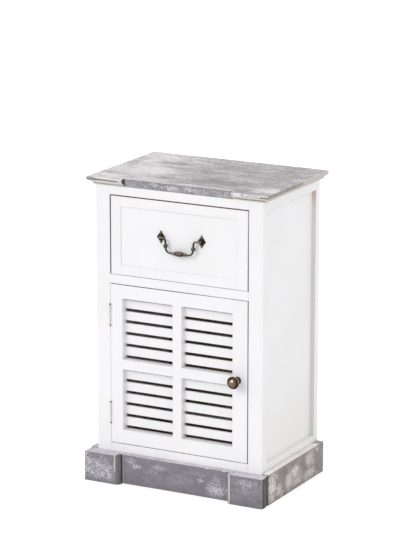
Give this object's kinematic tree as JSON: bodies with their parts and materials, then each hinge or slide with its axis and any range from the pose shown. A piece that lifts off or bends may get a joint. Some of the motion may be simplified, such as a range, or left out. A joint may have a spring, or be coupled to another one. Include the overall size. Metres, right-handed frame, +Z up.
{
  "type": "storage cabinet",
  "caption": "Small painted wooden cabinet with a drawer on a bail handle over a hinged louvred door with a knob, a moulded grey-washed top and a matching board plinth.",
  "frame": {"origin": "on the floor under the middle of the cabinet's outline", "axes": "+X to the right and +Y to the back as one faces the cabinet, +Z up"},
  "size_m": [0.4, 0.287, 0.6228],
  "materials": {
    "white_paint": "satin white paint, worn through on some edges",
    "grey_wash": "scuffed grey wash with whitened patches",
    "bare_wood": "bare sawn wood",
    "antique_brass": "antiqued brass, dark in the hollows",
    "hinge_brass": "plain brass",
    "steel": "zinc plated",
    "catch_plastic": "moulded"
  },
  "bodies": {
    "carcass": {"back_panel": "bare_wood", "drawer_guide_left": "bare_wood", "drawer_guide_right": "bare_wood", "drawer_runners": "bare_wood", "drawer_stops": "bare_wood", "floor_board": "bare_wood", "front_bottom_rail": "white_paint", "front_middle_rail": "white_paint", "front_post_left": "white_paint", "front_post_right": "white_paint", "front_top_rail": "white_paint", "hinge_frame_leaves": "hinge_brass", "hinge_frame_screws": "steel", "hinge_pins": "hinge_brass", "magnetic_catch": "catch_plastic", "plinth_block_left": "grey_wash", "plinth_block_right": "grey_wash", "plinth_front_rail": "grey_wash", "plinth_nails": "steel", "plinth_side_rail_left": "grey_wash", "plinth_side_rail_right": "grey_wash", "rear_bottom_rail": "white_paint", "rear_post_left": "white_paint", "rear_post_right": "white_paint", "rear_top_rail": "white_paint", "side_bottom_rail_left": "white_paint", "side_bottom_rail_right": "white_paint", "side_panel_left": "white_paint", "side_panel_right": "white_paint", "side_top_rail_left": "white_paint", "side_top_rail_right": "white_paint", "top_board": "grey_wash", "top_edge_strips": "grey_wash"},
    "drawer": {"drawer_back": "bare_wood", "drawer_bottom": "bare_wood", "drawer_front_bottom_rail": "white_paint", "drawer_front_panel": "white_paint", "drawer_front_stile_left": "white_paint", "drawer_front_stile_right": "white_paint", "drawer_front_top_rail": "white_paint", "drawer_side_left": "bare_wood", "drawer_side_right": "bare_wood", "handle_rosette_left": "antique_brass", "handle_rosette_right": "antique_brass", "handle_screws": "steel"},
    "handle_bail": {"handle_bail": "antique_brass"},
    "door": {"door_bottom_rail": "white_paint", "door_centre_stile": "white_paint", "door_knob": "antique_brass", "door_knob_screw": "steel", "door_middle_rail_left": "white_paint", "door_middle_rail_right": "white_paint", "door_slats_lower": "white_paint", "door_slats_upper": "white_paint", "door_stile_left": "white_paint", "door_stile_right": "white_paint", "door_top_rail": "white_paint", "hinge_door_leaves": "hinge_brass", "hinge_door_screws": "steel", "catch_plate": "steel"}
  },
  "joints": [
    {"name": "drawer_slide", "type": "slide", "parent": "carcass", "child": "drawer", "axis": [0, -1, 0], "range_m": [0, 0.16]},
    {"name": "door_hinge", "type": "hinge", "parent": "carcass", "child": "door", "pos_m": [-0.1538, -0.1162, 0.24], "axis": [0, 0, -1], "range_deg": [0, 165]},
    {"name": "bail_swing", "type": "hinge", "parent": "drawer", "child": "handle_bail", "pos_m": [0.0055, -0.121, 0.514], "axis": [-1, 0, 0], "range_deg": [0, 130]}
  ]
}
